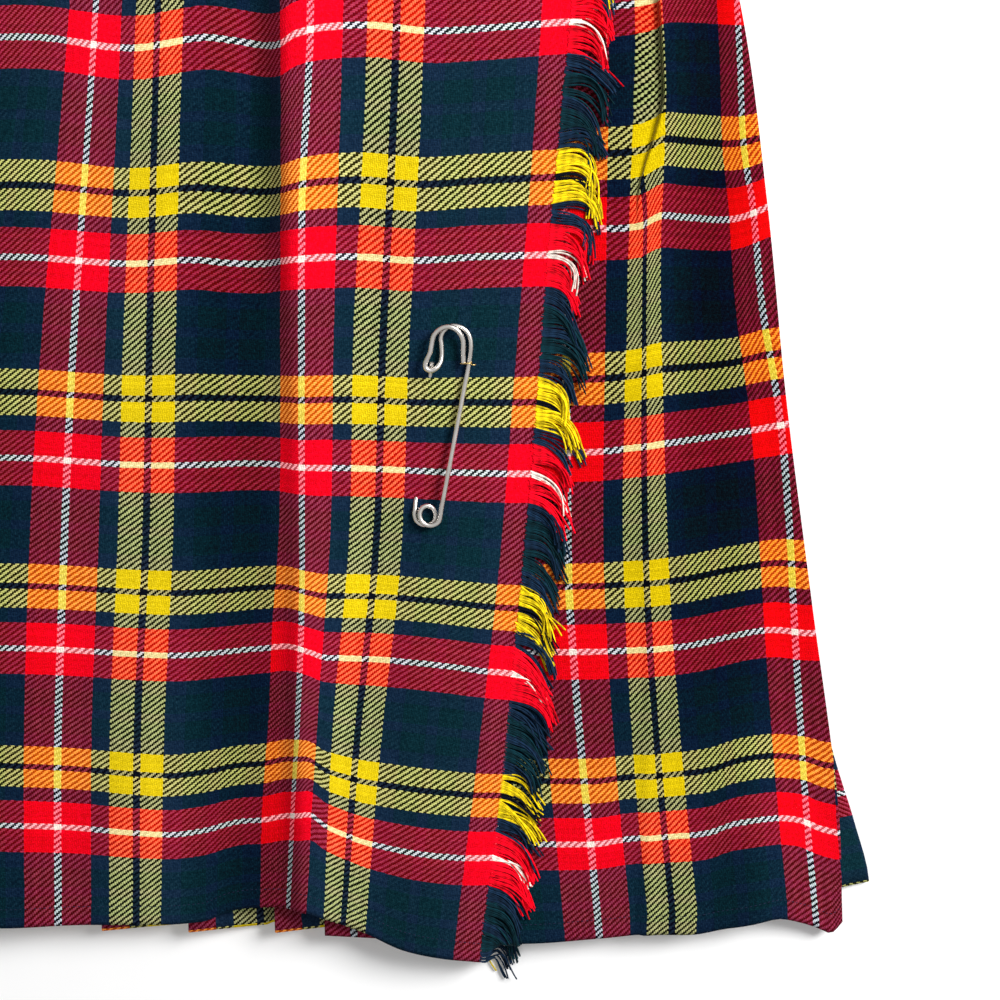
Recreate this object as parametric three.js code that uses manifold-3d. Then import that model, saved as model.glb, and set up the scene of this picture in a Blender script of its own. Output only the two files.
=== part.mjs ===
// Tartan kilt skirt laid flat on its pleats, in millimetres.
// +X is the viewer's right, +Y points to the waist, +Z is up from the surface it lies on.
// The origin is on the underside of the pleats, on the centre line, near mid length.
import * as THREE from 'three';
import Module from 'manifold-3d';
import { mergeVertices } from 'three/addons/utils/BufferGeometryUtils.js';

const wasm = await Module();
wasm.setup();

// Driving dimensions
const cloth = 1.0;            // thickness of one layer of cloth
const layerGap = 0.4;         // air between pressed layers
const seamGap = 0.3;          // gap where one piece is sewn to the next
const bodyTop = 280;          // height where the cloth meets the waistband
const bandHeight = 30;
const bandThickness = 3;
const pleatCount = 14;
const firstPleat = 0.7;       // width of the first pleat, as a share of the others
const foldRadius = (cloth + layerGap) / 2;
const pressedHeight = 3 * cloth + 2 * layerGap + 0.5;   // three layers and a little air
const underLift = 1.0;        // middle of the under apron above the pleats
const overLift = 3.3;         // middle of the over apron above the under apron
const underLeft = 25;         // free edge of the under apron, below the ridge of the over apron
const sideRoll = 9;           // how far in from the side fold the front starts to turn down
const sideLevel = 4.9;        // height of the cloth at the side fold
const fringeStrands = 132;
const fringeStrip = 2.2;      // width of the woven strip that holds the fringe
const fringeLength = 19;
const wireRadius = 1.15;

// Half width of the front, from side fold to centre line
const frontSides = [
  { y: 310, half: 168 },
  { y: 280, half: 171 },
  { y: 225, half: 197 },
  { y: 150, half: 222 },
  { y: 62, half: 238 },
  { y: -30, half: 251 },
  { y: -130, half: 268 },
  { y: -240, half: 287 },
  { y: -310, half: 293 },
];

// How far the pleats stand out past the front, and how high they puff up
const pleatSpread = [
  { y: 280, past: 0, puff: 0 },
  { y: 200, past: 0, puff: 0.3 },
  { y: 120, past: 0.5, puff: 1 },
  { y: 30, past: 0.5, puff: 2 },
  { y: -60, past: 0.5, puff: 3.2 },
  { y: -160, past: 0.5, puff: 5 },
  { y: -205, past: 1, puff: 6 },
  { y: -250, past: 8.5, puff: 7 },
  { y: -280, past: 14.5, puff: 7.7 },
  { y: -320, past: 16, puff: 8.5 },
];

// Free edge of the over apron, where the fringe starts
const apronEdge = [
  { y: 280, x: 160 },
  { y: 123, x: 146 },
  { y: 40, x: 138.5 },
  { y: -60, x: 131.5 },
  { y: -140, x: 124.5 },
  { y: -235, x: 115.5 },
  { y: -325, x: 105 },
];

// Hem lines
const overHem = [
  { x: -293, y: -287 },
  { x: -200, y: -297 },
  { x: -78, y: -300 },
  { x: -38, y: -300 },
  { x: -22, y: -294 },
  { x: 16, y: -290 },
  { x: 26, y: -294 },
  { x: 44, y: -303 },
  { x: 66, y: -314 },
  { x: 104, y: -322 },
];
const underHem = [
  { x: 20, y: -308 },
  { x: 121, y: -313 },
  { x: 166, y: -310 },
  { x: 195, y: -307 },
  { x: 216, y: -307 },
  { x: 233, y: -303 },
  { x: 255, y: -298 },
  { x: 268, y: -302 },
  { x: 279, y: -307 },
  { x: 287, y: -311 },
  { x: 293, y: -305 },
];
const backHem = { middle: -308, side: -284 };

// Folds: where each one lies at the waist, the hip, mid length and the hem, how far it reaches
// to its left and right, and how high it stands at those four places and halfway to the hem
const overFolds = [
  { name: 'trough', waistX: 4, hipX: 0, midX: -8, hemX: -18, left: 30, right: 12,
    waist: 0, hip: -3.2, mid: -2.8, low: -2.2, hem: -3 },
  { name: 'ridge', waistX: 26, hipX: 21, midX: 21, hemX: 16, left: 8, right: 20,
    waist: 0, hip: 8, mid: 5, low: 7, hem: 7.5 },
  { name: 'pin swell', waistX: 90, hipX: 86, midX: 80, hemX: 76, left: 34, right: 34,
    waist: 0, hip: 0.8, mid: 2.2, low: 1.2, hem: 2 },
  { name: 'left ridge', waistX: -88, hipX: -112, midX: -128, hemX: -140, left: 30, right: 34,
    waist: 0, hip: 2.5, mid: 4, low: 5, hem: 6 },
  { name: 'left trough', waistX: -112, hipX: -150, midX: -172, hemX: -188, left: 24, right: 20,
    waist: 0, hip: -1.5, mid: -2, low: -2, hem: -2.5 },
  { name: 'side ridge', waistX: -138, hipX: -188, midX: -214, hemX: -236, left: 22, right: 24,
    waist: 0, hip: 1, mid: 2.5, low: 3, hem: 4 },
];
const underFolds = [
  { name: 'dart', waistX: 164, hipX: 187, midX: 187, hemX: 190, left: 2.5, right: 26,
    waist: 0, hip: 4, mid: 0, low: 1.2, hem: 2 },
  { name: 'side crease', waistX: 180, hipX: 224, midX: 232, hemX: 248, left: 16, right: 16,
    waist: 0, hip: 1.6, mid: 2.5, low: 3.5, hem: 4.5 },
];
const foldStations = { waist: 280, hip: 120, mid: -60, low: -190, hem: -320 };

// ---- small helpers -------------------------------------------------------

const clamp01 = (t) => Math.min(1, Math.max(0, t));
const ease = (from, to, at) => {
  const t = clamp01((at - from) / (to - from));
  return t * t * (3 - 2 * t);
};

// Smooth curve through the rows of a table, read by column name
function along(rows, key, column, at) {
  const sign = rows[rows.length - 1][key] > rows[0][key] ? 1 : -1;
  let i = 0;
  while (i < rows.length - 2 && (at - rows[i + 1][key]) * sign > 0) i += 1;
  const slope = (k) => {
    const a = rows[Math.max(0, k - 1)];
    const b = rows[Math.min(rows.length - 1, k + 1)];
    return (b[column] - a[column]) / (b[key] - a[key]);
  };
  const span = rows[i + 1][key] - rows[i][key];
  const t = clamp01((at - rows[i][key]) / span);
  const t2 = t * t;
  const t3 = t2 * t;
  return rows[i][column] * (2 * t3 - 3 * t2 + 1) + slope(i) * span * (t3 - 2 * t2 + t)
    + rows[i + 1][column] * (3 * t2 - 2 * t3) + slope(i + 1) * span * (t3 - t2);
}

// Turns rows of middle points into a closed wall of even thickness
function wallFrom(rows, thickness) {
  const high = rows.length;
  const wide = rows[0].length;
  const upper = [];
  const lower = [];
  for (let j = 0; j < high; j += 1) {
    for (let i = 0; i < wide; i += 1) {
      const across = rows[j][Math.min(i + 1, wide - 1)].clone().sub(rows[j][Math.max(i - 1, 0)]);
      const down = rows[Math.min(j + 1, high - 1)][i].clone().sub(rows[Math.max(j - 1, 0)][i]);
      const normal = down.cross(across).normalize().multiplyScalar(thickness / 2);
      upper.push(rows[j][i].clone().add(normal));
      lower.push(rows[j][i].clone().sub(normal));
    }
  }
  const points = upper.concat(lower);
  const faces = [];
  const quad = (a, b, c, d) => faces.push(a, b, c, a, c, d);
  const at = (j, i, side) => side * high * wide + j * wide + i;
  for (let j = 0; j < high - 1; j += 1) {
    for (let i = 0; i < wide - 1; i += 1) {
      quad(at(j, i, 0), at(j + 1, i, 0), at(j + 1, i + 1, 0), at(j, i + 1, 0));
      quad(at(j, i, 1), at(j, i + 1, 1), at(j + 1, i + 1, 1), at(j + 1, i, 1));
    }
  }
  for (let i = 0; i < wide - 1; i += 1) {
    quad(at(0, i, 0), at(0, i + 1, 0), at(0, i + 1, 1), at(0, i, 1));
    quad(at(high - 1, i, 1), at(high - 1, i + 1, 1), at(high - 1, i + 1, 0), at(high - 1, i, 0));
  }
  for (let j = 0; j < high - 1; j += 1) {
    quad(at(j, 0, 1), at(j + 1, 0, 1), at(j + 1, 0, 0), at(j, 0, 0));
    quad(at(j, wide - 1, 0), at(j + 1, wide - 1, 0), at(j + 1, wide - 1, 1), at(j, wide - 1, 1));
  }
  return facesOf(points, faces);
}

function facesOf(points, faces) {
  const geometry = new THREE.BufferGeometry();
  geometry.setAttribute('position', new THREE.Float32BufferAttribute(points.flatMap((p) => [p.x, p.y, p.z]), 3));
  geometry.setIndex(faces);
  return geometry;
}

function solidOf(geometry) {
  const bare = geometry.clone();
  bare.deleteAttribute('normal');
  bare.deleteAttribute('uv');
  const merged = mergeVertices(bare, 1e-4);
  return new wasm.Manifold(new wasm.Mesh({
    numProp: 3,
    vertProperties: Float32Array.from(merged.attributes.position.array),
    triVerts: Uint32Array.from(merged.index.array),
  }));
}

function geometryOf(solid) {
  const mesh = solid.getMesh();
  const geometry = new THREE.BufferGeometry();
  geometry.setAttribute('position', new THREE.Float32BufferAttribute(mesh.vertProperties, 3));
  geometry.setIndex(Array.from(mesh.triVerts));
  return geometry;
}

// ---- heights of the layers ------------------------------------------------

const frontHalf = (y) => along(frontSides, 'y', 'half', y);
const backHalf = (y) => frontHalf(y) + along(pleatSpread, 'y', 'past', y);
const backHemAt = (x) => backHem.middle + (backHem.side - backHem.middle) * Math.min(1, Math.abs(x) / 307) ** 2.5;

function puffAt(x, y) {
  const fromSide = backHalf(y) - Math.abs(x);
  return along(pleatSpread, 'y', 'puff', y) * ease(12, 64, fromSide);
}

function foldHeight(folds, x, y) {
  let height = 0;
  for (const fold of folds) {
    const path = [
      { y: foldStations.waist, x: fold.waistX, lift: fold.waist },
      { y: foldStations.hip, x: fold.hipX, lift: fold.hip },
      { y: foldStations.mid, x: fold.midX, lift: fold.mid },
      { y: foldStations.low, x: (fold.midX + fold.hemX) / 2, lift: fold.low },
      { y: foldStations.hem, x: fold.hemX, lift: fold.hem },
    ];
    const away = x - along(path, 'y', 'x', y);
    const reach = away < 0 ? fold.left : fold.right;
    height += along(path, 'y', 'lift', y) * Math.exp(-((away / reach) ** 2));
  }
  return height;
}

// The front turns down to the side fold along a quarter of an ellipse
function turnedDown(height, x, y) {
  const inside = clamp01((frontHalf(y) - Math.abs(x)) / sideRoll);
  return sideLevel + (height - sideLevel) * Math.sqrt(1 - (1 - inside) ** 2);
}

const pleatTop = (x, y) => pressedHeight + puffAt(x, y);
const underFlat = (x, y) => pleatTop(x, y) + underLift + Math.max(0, foldHeight(underFolds, x, y));
const underHeight = (x, y) => turnedDown(underFlat(x, y), x, y);

function overHeight(x, y) {
  const edge = along(apronEdge, 'y', 'x', y);
  const settle = 1.7 * ease(edge - 22, edge, x);
  const lifted = pleatTop(x, y) + underLift + overLift + foldHeight(overFolds, x, y) - settle;
  return x < 0 ? turnedDown(lifted, x, y) : lifted;
}

// ---- the pieces -------------------------------------------------------------

// Evenly spaced values with extra ones inside a closer stretch
function spread(from, to, count) {
  return Array.from({ length: count + 1 }, (unused, i) => from + ((to - from) * i) / count);
}

function apronRows(shares, lineCount, topY, leftAt, rightAt, hem, height) {
  return Array.from({ length: lineCount + 1 }, (unused, j) => {
    const t = j / lineCount;
    return shares.map((share) => {
      let y = topY + (along(hem, 'x', 'y', 0) - topY) * t;
      let x = 0;
      for (let pass = 0; pass < 3; pass += 1) {
        x = leftAt(y) + (rightAt(y) - leftAt(y)) * share;
        y = topY + (along(hem, 'x', 'y', x) - topY) * t;
      }
      return new THREE.Vector3(x, y, height(x, y));
    });
  });
}

function overApronGeometry() {
  const roll = spread(0, 0.018, 3).map((s) => s * s / 0.018);
  const shares = [...roll, ...spread(0.05, 0.53, 9), ...spread(0.56, 0.73, 9), ...spread(0.77, 1, 6)];
  const left = (y) => -frontHalf(y);
  const right = (y) => along(apronEdge, 'y', 'x', y);
  return wallFrom(apronRows(shares, 18, bodyTop, left, right, overHem, overHeight), cloth);
}

function underApronGeometry() {
  const roll = spread(0, 0.036, 3).map((s) => 1 - s * s / 0.036).reverse();
  const shares = [...spread(0, 0.5, 4), ...spread(0.56, 0.94, 10), ...roll];
  const left = (y) => underLeft + (y < 0 ? 0 : 0.02 * y);
  return wallFrom(apronRows(shares, 15, bodyTop, left, frontHalf, underHem, underHeight), cloth);
}

// Middle line of the knife pleats across the back, at one height
function pleatSection(y) {
  const half = backHalf(y);
  const reveal = (2 * half) / (pleatCount - 1 + firstPleat);
  const low = cloth / 2;
  const line = [[-half, low]];
  for (let k = 0; k < pleatCount; k += 1) {
    const outer = -half + (k + firstPleat) * reveal;
    const depth = k === 0 ? reveal * firstPleat * 0.7 : reveal - 6;
    const inner = outer - depth;
    const step = cloth + layerGap;
    const second = low + step;
    const puff = puffAt(inner, y);
    const third = second + step + puff;
    line.push([outer - foldRadius, low], [outer, low + foldRadius], [outer - foldRadius, second]);
    line.push([(outer + inner) / 2, second + puff * 0.35]);
    line.push([inner + foldRadius, second + puff], [inner, second + puff + foldRadius], [inner + foldRadius, third]);
    if (k < pleatCount - 1) {
      line.push([(outer + inner) / 2, second + step + puff * 0.45]);
      line.push([outer - 0.5, second + step], [outer + 1.7, second + 0.2], [outer + 3.6, low]);
    } else {
      line.push([frontHalf(y) - sideRoll, second + step]);
    }
  }
  return line;
}

// Offsets a line of [x, z] points to one side, with mitred corners
function offsetLine(line, amount) {
  return line.map((point, i) => {
    const before = line[Math.max(0, i - 1)];
    const after = line[Math.min(line.length - 1, i + 1)];
    const into = new THREE.Vector2(point[0] - before[0], point[1] - before[1]);
    const out = new THREE.Vector2(after[0] - point[0], after[1] - point[1]);
    if (i === 0) into.copy(out);
    if (i === line.length - 1) out.copy(into);
    into.normalize();
    out.normalize();
    const normal = new THREE.Vector2(-into.y - out.y, into.x + out.x).normalize();
    const stretch = Math.max(0.6, normal.x * -into.y + normal.y * into.x);
    return [point[0] + (normal.x * amount) / stretch, point[1] + (normal.y * amount) / stretch];
  });
}

function pleatedBackGeometry() {
  const heights = [bodyTop, 205, 120, 0, -120, -225, backHem.middle];
  const rings = heights.map((y) => {
    const line = pleatSection(y);
    const ring = [...offsetLine(line, cloth / 2), ...offsetLine(line, -cloth / 2).reverse()];
    const share = (bodyTop - y) / (bodyTop - backHem.middle);
    return ring.map(([x, z]) => new THREE.Vector3(x, bodyTop + (backHemAt(x) - bodyTop) * share, z));
  });
  const wide = rings[0].length;
  const faces = [];
  for (let j = 0; j < rings.length - 1; j += 1) {
    for (let i = 0; i < wide; i += 1) {
      const a = j * wide + i;
      const b = j * wide + ((i + 1) % wide);
      faces.push(a, b + wide, b, a, a + wide, b + wide);
    }
  }
  const half = wide / 2;
  const last = (rings.length - 1) * wide;
  for (let i = 0; i < half - 1; i += 1) {
    const near = i;
    const far = wide - 1 - i;
    faces.push(near, far - 1, far, near, near + 1, far - 1);
    faces.push(last + near, last + far, last + far - 1, last + near, last + far - 1, last + near + 1);
  }
  return facesOf(rings.flat(), faces);
}

// The band starts at the over apron's free edge, runs round the back and ends on the under apron
function waistbandGeometry() {
  const half = frontSides[0].half;
  const backZ = bandThickness / 2;
  const underZ = backZ + bandThickness + 0.6;
  const overZ = underZ + bandThickness + 0.6;
  const bend = (x, side, fromZ, toZ) => spread(0, Math.PI, 6).map((angle) => [
    x + side * Math.sin(angle) * Math.abs(toZ - fromZ) / 2,
    (fromZ + toZ) / 2 + (fromZ - toZ) / 2 * Math.cos(angle),
  ]);
  const line = [
    [along(apronEdge, 'y', 'x', bodyTop), overZ],
    ...bend(-half, -1, overZ, backZ),
    ...bend(half, 1, backZ, underZ),
    [underLeft + 6, underZ],
  ];
  const outline = [...offsetLine(line, bandThickness / 2), ...offsetLine(line, -bandThickness / 2).reverse()];
  const shape = new THREE.Shape(outline.map(([x, z]) => new THREE.Vector2(x, z)));
  const geometry = new THREE.ExtrudeGeometry(shape, { depth: bandHeight - seamGap, bevelEnabled: false });
  geometry.rotateX(Math.PI / 2);
  geometry.translate(0, bodyTop + bandHeight, 0);
  return geometry;
}

// Sewn-through button that closes the over apron at the waistband
function buttonGeometry() {
  const radius = 9.5;
  const thick = 2.6;
  const profile = [[0, 0], [radius - 2.5, 0], [radius, 1], [radius, thick - 0.6], [radius - 0.8, thick],
    [radius - 2.2, thick - 0.2], [radius - 3, thick - 0.9], [0, thick - 0.9]];
  const geometry = new THREE.LatheGeometry(profile.map(([r, z]) => new THREE.Vector2(r, z)), 16);
  geometry.rotateX(Math.PI / 2);
  return geometry;
}

// Strands of unwoven weft, fused into a narrow strip along the over apron's free edge
function fringeGeometry() {
  const edgePoint = (y, out) => {
    const x = along(apronEdge, 'y', 'x', y) + seamGap + out;
    return new THREE.Vector3(x, y, overHeight(along(apronEdge, 'y', 'x', y), y));
  };
  const topY = bodyTop - 2;
  const bottomY = -321;
  const stripRows = spread(topY, bottomY, 26).map((y) => [edgePoint(y, 0), edgePoint(y, fringeStrip)]);
  const strands = [];
  for (let k = 0; k < fringeStrands; k += 1) {
    const share = (k + 0.5) / fringeStrands;
    const y = topY + (bottomY - topY) * share;
    const length = fringeLength * (1 + 0.1 * Math.sin(k * 2.1) + 0.05 * Math.sin(k * 0.53));
    const droop = 5 + 2.2 * Math.sin(k * 0.31) + 4 * ease(0.86, 1, share);
    const radius = 0.95;
    const middles = [0, 0.5, 1].map((s) => {
      const x = along(apronEdge, 'y', 'x', y) + seamGap + fringeStrip * 0.4 + length * s * (1 - 0.12 * s);
      const downY = y - droop * s ** 1.7;
      const rest = Math.max(...[-9, -4, 0, 4].map((near) => underHeight(x + near, downY)));
      return new THREE.Vector3(x, downY, rest + 1.6);
    });
    middles[0].z = overHeight(along(apronEdge, 'y', 'x', y), y);
    const points = middles.flatMap((middle, step) => {
      const size = radius * [0.8, 1, 0.55][step];
      return [90, 210, 330].map((angle) => {
        const a = (angle * Math.PI) / 180;
        const up = step === 0 ? 0.55 : 0.8;
        return new THREE.Vector3(middle.x, middle.y + Math.cos(a) * size, middle.z + Math.sin(a) * size * up);
      });
    });
    const faces = [0, 2, 1, 6, 7, 8];
    for (let step = 0; step < 2; step += 1) {
      for (let side = 0; side < 3; side += 1) {
        const a = step * 3 + side;
        const b = step * 3 + ((side + 1) % 3);
        faces.push(a, b, b + 3, a, b + 3, a + 3);
      }
    }
    strands.push(solidOf(facesOf(points, faces)));
  }
  return geometryOf(wasm.Manifold.union([solidOf(wallFrom(stripRows, cloth)), ...strands]));
}

// ---- kilt pin ---------------------------------------------------------------

// One wire. From the point it runs under the apron, round the coil, up the shaft, over the cap,
// down and round the hook that holds the point, and back over the cap to a clamp on the shaft.
const pin = {
  coil: { x: 80.3, y: -84.2 },
  cap: { x: 92.2, y: -3.2 },
  entry: { x: 74.6, y: -79 },
  exit: { x: 82.3, y: -16.1 },
};
const onCloth = cloth / 2 + seamGap + wireRadius;    // wire lying on the apron
const pitch = 2 * wireRadius + seamGap;              // one wire over another

// Points given as x, y and height above the middle of the over apron
const overApronPoint = ([x, y, above]) => new THREE.Vector3(x, y, overHeight(x, y) + above);
const turned = ({ x, y }, angle, radius, z) => new THREE.Vector3(
  x + Math.cos(angle * Math.PI / 180) * radius,
  y + Math.sin(angle * Math.PI / 180) * radius,
  z,
);

function pinArmPoints() {
  const { entry, exit } = pin;
  return [
    [exit.x + 1, exit.y + 4.6, onCloth],
    [exit.x + 0.5, exit.y + 1.6, onCloth - 0.5],
    [exit.x, exit.y - 2, -onCloth * 0.3],
    [exit.x - 1, exit.y - 9, -onCloth],
    [(entry.x + exit.x) / 2, (entry.y + exit.y) / 2, -onCloth],
    [entry.x + 1.2, entry.y + 9, -onCloth],
    [entry.x + 0.3, entry.y + 2, -onCloth * 0.3],
    [entry.x - 0.2, entry.y - 3.4, onCloth - 0.1],
  ].map(overApronPoint);
}

function pinPoints() {
  const { coil, cap } = pin;
  const points = pinArmPoints();

  // The coil narrows from the arm to its inner turn and widens again to the shaft
  const low = overHeight(coil.x, coil.y) + onCloth;
  const turns = [[180, 6.1], [210, 6.2], [240, 6], [270, 5.6], [300, 5.1], [330, 4.4], [360, 3.8], [400, 3.8], [440, 4.1],
    [475, 4], [510, 3.6], [545, 3.5], [585, 3.9], [620, 4.7], [650, 5.5], [675, 6.1], [692, 6.4]];
  turns.forEach(([angle, radius]) => {
    points.push(turned(coil, angle, radius, low + pitch * ease(330, 600, angle)));
  });

  const high = overHeight(cap.x + 8, cap.y - 9) + onCloth;
  const foot = points[points.length - 1];
  const top = new THREE.Vector3(cap.x + 8.3, cap.y - 9, high);
  [0.1, 0.3, 0.6, 0.85, 1].forEach((s) => {
    const point = foot.clone().lerp(top, s);
    point.z = foot.z + (high - foot.z) * ease(0, 1, s) + 0.9 * Math.sin(Math.PI * s);
    points.push(point);
  });

  // Over the cap, low, from the shaft to the inner prong
  const lowerCap = [[0, 9.2], [30, 9.4], [55, 9.2], [80, 8.7], [100, 8], [125, 6.7], [150, 5.5], [180, 4.5]];
  lowerCap.forEach(([angle, radius]) => points.push(turned(cap, angle, radius, high + 0.2)));

  // Round the hook, above the point, and back over the cap to the clamp
  const hook = [[-4.4, -5.6, 0.7], [-5.2, -8.8, 1.8], [-7.2, -11.1, 2.9], [-9.6, -11.9, 3.3], [-11.5, -11, 3.4],
    [-12, -9, 3.4], [-11, -6.4, 3.3], [-9.6, -3.2, 3.1]];
  hook.forEach(([x, y, above]) => points.push(new THREE.Vector3(cap.x + x, cap.y + y, high + above)));
  const upperCap = [[180, 9], [150, 9], [120, 8.9], [95, 8.5], [70, 7.5], [45, 6.5], [20, 5.9], [0, 5.7]];
  upperCap.forEach(([angle, radius]) => {
    points.push(turned(cap, angle, radius, high + pitch + 0.5 - 1.2 * ease(90, 0, angle)));
  });
  points.push(new THREE.Vector3(cap.x + 5.6, cap.y - 4.5, high + 1.5));
  points.push(new THREE.Vector3(cap.x + 5.7, cap.y - 8.6, high + 1.3));
  return points;
}

function wireGeometry(points, radius, steps, sides) {
  const shape = new THREE.Shape(spread(0, 2 * Math.PI, sides).slice(0, sides)
    .map((a) => new THREE.Vector2(Math.cos(a) * radius, Math.sin(a) * radius)));
  const path = new THREE.CatmullRomCurve3(points, false, 'centripetal');
  return new THREE.ExtrudeGeometry(shape, { steps, extrudePath: path, bevelEnabled: false });
}

// ---- assembly ------------------------------------------------------------------

const looks = {
  tartan: { color: 0x5a2a35, roughness: 0.9, metalness: 0 },
  pleats: { color: 0x1f3a3c, roughness: 0.9, metalness: 0 },
  fringe: { color: 0xb02838, roughness: 0.95, metalness: 0 },
  band: { color: 0x22304f, roughness: 0.9, metalness: 0 },
  button: { color: 0x1c2233, roughness: 0.4, metalness: 0 },
  nickel: { color: 0xc9c5bd, roughness: 0.25, metalness: 1 },
};

const kilt = new THREE.Group();
function add(name, geometry, look, position = [0, 0, 0]) {
  const mesh = new THREE.Mesh(geometry, new THREE.MeshStandardMaterial(look));
  mesh.name = name;
  mesh.position.set(...position);
  kilt.add(mesh);
}

// The pin's arm goes through the over apron and out again, so its two holes are cut
const holeTool = solidOf(wireGeometry(pinArmPoints(), wireRadius + 0.35, 40, 8));
const overApron = solidOf(overApronGeometry()).subtract(holeTool);

add('over_apron', geometryOf(overApron), looks.tartan);
add('under_apron', underApronGeometry(), looks.tartan);
add('pleated_back', pleatedBackGeometry(), looks.pleats);
add('waistband', waistbandGeometry(), looks.band);
const buttonPlace = [143, bodyTop + bandHeight / 2, 3 * bandThickness + 1.2 + seamGap];
add('waist_button', buttonGeometry(), looks.button, buttonPlace);
add('fringe', fringeGeometry(), looks.fringe);
add('kilt_pin', wireGeometry(pinPoints(), wireRadius, 104, 6), looks.nickel);

export default kilt;
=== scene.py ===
import math
import bmesh
import bpy
import numpy as np
from mathutils import Matrix, Vector


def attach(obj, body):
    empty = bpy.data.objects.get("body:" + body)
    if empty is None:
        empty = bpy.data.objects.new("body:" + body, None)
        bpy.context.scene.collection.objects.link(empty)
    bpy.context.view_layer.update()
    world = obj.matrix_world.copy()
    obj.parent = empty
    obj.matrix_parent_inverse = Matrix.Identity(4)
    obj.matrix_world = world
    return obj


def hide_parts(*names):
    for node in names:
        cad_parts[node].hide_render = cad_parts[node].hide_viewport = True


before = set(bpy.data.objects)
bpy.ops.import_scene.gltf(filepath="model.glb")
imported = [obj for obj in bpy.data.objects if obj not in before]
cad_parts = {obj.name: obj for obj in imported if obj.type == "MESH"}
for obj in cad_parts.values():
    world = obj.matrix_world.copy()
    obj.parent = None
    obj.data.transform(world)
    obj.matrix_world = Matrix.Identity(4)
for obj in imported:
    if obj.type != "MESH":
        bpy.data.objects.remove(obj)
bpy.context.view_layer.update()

# A tartan kilt laid flat on its pleats. Tables are in millimetres, the meshes in metres.
# x is the viewer's right, y points to the waist, z is up from the floor.

scene = bpy.context.scene
mm = 0.001


def linked(name, data):  # a new object in the scene
    made = bpy.data.objects.new(name, data)
    scene.collection.objects.link(made)
    return made


def moveCamera():
    settings = {"place": (0.115, 0.0904, 0.7108), "lean": -0.2372, "lens": 54, "sensor": 36}
    data = bpy.data.cameras.new("camera")
    data.lens, data.sensor_width = settings["lens"], settings["sensor"]
    scene.camera = linked("camera", data)
    scene.camera.location, scene.camera.rotation_euler = settings["place"], (settings["lean"], 0, 0)


moveCamera()
print("camera placed")


class Wire:  # a socket in a node tree; sums on it add Math nodes
    def __init__(self, tree, socket):
        self.tree, self.socket = tree, socket

    def maths(self, operation, *values):
        return self.tree.add("ShaderNodeMath", dict(enumerate(values)), operation=operation)

    def vectors(self, operation, *values, out=0):
        return self.tree.add("ShaderNodeVectorMath", dict(enumerate(values)), out, operation=operation)

    def scaled(self, amount):
        return self.tree.add("ShaderNodeVectorMath", {0: self, "Scale": amount}, operation="SCALE")

    def other(self, out):  # another output of the same node
        return Wire(self.tree, self.socket.node.outputs[out])

    def __add__(self, other):
        return self.maths("ADD", self, other)

    def __sub__(self, other):
        return self.maths("SUBTRACT", self, other)

    def __rsub__(self, other):
        return self.maths("SUBTRACT", other, self)

    def __mul__(self, other):
        return self.maths("MULTIPLY", self, other)

    def __truediv__(self, other):
        return self.maths("DIVIDE", self, other)

    def __mod__(self, other):
        return self.maths("FLOORED_MODULO", self, other)

    def __lt__(self, other):
        return self.maths("LESS_THAN", self, other)

    def whole(self):
        return self.maths("FLOOR", self)

    def part(self):
        return self.maths("FRACT", self)

    def arch(self):  # 0 to 1 gives a rounded hump
        return self.maths("SINE", self * math.pi)

    def lower(self, other):
        return self.maths("MINIMUM", self, other)

    def higher(self, other):
        return self.maths("MAXIMUM", self, other)

    __radd__, __rmul__ = __add__, __mul__


class Tree:  # adds nodes to a shader or geometry tree
    def __init__(self, tree):
        self.tree = tree

    def add(self, kind, sockets={}, out=0, **settings):
        made = self.tree.nodes.new(kind)
        for name, value in settings.items():
            if name == "stops":
                fillRamp(made.color_ramp, value)
            else:
                setattr(made, name, value)
        for name, value in sockets.items():
            self.join(value, made.inputs[name])
        return Wire(self, made.outputs[out])

    def join(self, value, socket):
        if isinstance(value, Wire):
            self.tree.links.new(value.socket, socket)
        else:
            socket.default_value = value

    def finish(self, **looks):  # onto the surface shader
        for name, value in looks.items():
            self.join(value, self.tree.nodes["Principled BSDF"].inputs[name.replace("_", " ")])

    def mixed(self, share, first, second):
        return self.add("ShaderNodeMix", {0: share, 6: first, 7: second}, 2, data_type="RGBA")

    def blend(self, share, first, second):  # the same, from screen colours
        return self.mixed(share, (*linear(*first), 1), (*linear(*second), 1))

    def noise(self, place, scale, detail=3, out=0, **more):
        sockets = {"Vector": place, "Scale": scale, "Detail": detail, **more}
        return self.add("ShaderNodeTexNoise", sockets, out)

    def bump(self, strength, distance, height):
        return self.add("ShaderNodeBump", {"Strength": strength, "Distance": distance, "Height": height})

    def place(self):
        return self.add("ShaderNodeTexCoord", out="Object")

    def three(self, x, y, z):
        return self.add("ShaderNodeCombineXYZ", {0: x, 1: y, 2: z})


def fillRamp(ramp, stops):
    ramp.interpolation = "CONSTANT"
    ramp.elements.remove(ramp.elements[1])
    for i, (place, colour) in enumerate(stops):
        stop = ramp.elements[0] if i == 0 else ramp.elements.new(place)
        stop.position, stop.color = place, (*colour, 1)


def newFinish(name, **fixed):  # a material and its tree
    material = bpy.data.materials.new(name)
    material.use_nodes = True
    tree = Tree(material.node_tree)
    tree.finish(**fixed)
    return material, tree


def linear(*colour):  # screen colour, 0 to 255, as Blender's own
    return tuple((c / 255 / 12.92) if c < 10 else ((c / 255 + 0.055) / 1.055) ** 2.4 for c in colour)


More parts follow.
